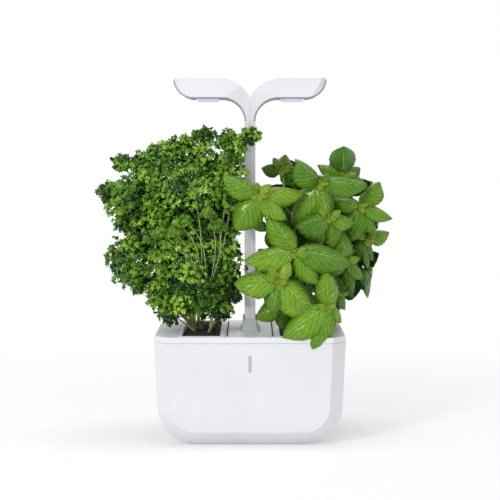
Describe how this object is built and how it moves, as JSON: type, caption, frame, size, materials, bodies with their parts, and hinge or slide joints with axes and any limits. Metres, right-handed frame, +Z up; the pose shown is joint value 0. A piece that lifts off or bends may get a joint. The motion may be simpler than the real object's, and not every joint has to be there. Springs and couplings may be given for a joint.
{
  "type": "countertop hydroponic garden",
  "caption": "Countertop hydroponic garden: bevelled water tank, lid with two planted trays and a hinged filler flap, and a two-leaf lamp on a sliding stem.",
  "frame": {"origin": "under the middle of the rubber foot ring, on the surface that the garden stands on", "axes": "+Z up along the lamp stem, the front face looks along -Y, +X to the right seen from the front"},
  "size_m": [0.3612, 0.2009, 0.4343],
  "materials": {
    "tank_shell": "satin white moulding",
    "foot_rubber": "matt",
    "badge_face": "satin grey",
    "lid_shell": "satin white moulding",
    "cover_panel": "satin white moulding",
    "seal_strip": "matt",
    "flap_panel": "satin white moulding",
    "steel": "bright",
    "foot_collar": "light grey satin",
    "nylon": "natural",
    "well_plastic": "grey",
    "lead_jacket": "matt",
    "housing_plastic": "satin",
    "circuit_board": "solder mask",
    "jack_body": "matt",
    "button_cap": "satin",
    "dome_rubber": "matt",
    "basil_stalk": "satin",
    "basil_leaf": "glossy",
    "parsley_stalk": "satin",
    "parsley_leaf": "satin",
    "lamp_moulding": "satin white moulding",
    "underside_panel": "grey satin",
    "lens_diffuser": "translucent, pale lavender glow",
    "led_package": "clear resin",
    "sink_metal": "extruded",
    "tray_plastic": "satin white moulding",
    "felt": "felt",
    "pod_plastic": "black",
    "soil": "crumbly"
  },
  "bodies": {
    "base": {"reservoir_tank": "tank_shell", "foot_ring": "foot_rubber", "front_badge": "badge_face"},
    "lid": {"lid_deck": "lid_shell", "centre_cover": "cover_panel", "light_seals": "seal_strip", "flap_hinge_pin": "steel", "stem_foot": "foot_collar", "stem_glides": "nylon", "stem_well": "well_plastic", "supply_lead": "lead_jacket", "coil_lead": "lead_jacket", "power_housing": "housing_plastic", "control_board": "circuit_board", "power_jack": "jack_body", "switch_dome": "dome_rubber", "left_grow_tray": "tray_plastic", "right_grow_tray": "tray_plastic", "left_wick": "felt", "right_wick": "felt", "left_capillary_mat": "felt", "right_capillary_mat": "felt"},
    "lamp": {"left_lamp_shell": "lamp_moulding", "right_lamp_shell": "lamp_moulding", "left_lamp_underside": "underside_panel", "right_lamp_underside": "underside_panel", "left_lamp_lens": "lens_diffuser", "right_lamp_lens": "lens_diffuser", "left_led_board": "circuit_board", "right_led_board": "circuit_board", "left_leds": "led_package", "right_leds": "led_package", "left_heat_sink": "sink_metal", "right_heat_sink": "sink_metal", "lamp_lead": "lead_jacket", "stem_shoe": "nylon", "stem_end_plate": "nylon"},
    "left_pod": {"left_pod_tub": "pod_plastic", "left_substrate": "soil", "parsley_stems": "parsley_stalk", "parsley_foliage": "parsley_leaf"},
    "right_pod": {"right_pod_tub": "pod_plastic", "right_substrate": "soil", "basil_stems": "basil_stalk", "basil_foliage": "basil_leaf"},
    "flap": {"filler_flap": "flap_panel"},
    "button": {"light_button": "button_cap"}
  },
  "joints": [
    {"name": "lid_lift", "type": "slide", "parent": "base", "child": "lid", "axis": [0, 0, 1], "range_m": [0, 0.12]},
    {"name": "lamp_height", "type": "slide", "parent": "lid", "child": "lamp", "axis": [0, 0, 1], "range_m": [-0.06, 0], "deforming": ["parsley_foliage", "basil_foliage", "coil_lead"]},
    {"name": "left_pod_lift", "type": "slide", "parent": "lid", "child": "left_pod", "axis": [0, 0, 1], "range_m": [0, 0.026]},
    {"name": "right_pod_lift", "type": "slide", "parent": "lid", "child": "right_pod", "axis": [0, 0, 1], "range_m": [0, 0.026]},
    {"name": "filler_flap_hinge", "type": "hinge", "parent": "lid", "child": "flap", "pos_m": [0, -0.0395, 0.1281], "axis": [-1, 0, 0], "range_deg": [0, 75]},
    {"name": "light_button_press", "type": "slide", "parent": "lid", "child": "button", "axis": [0, 0, -1], "range_m": [0, 0.001], "stiffness_N_per_m": 1500, "deforming": ["switch_dome"]}
  ]
}
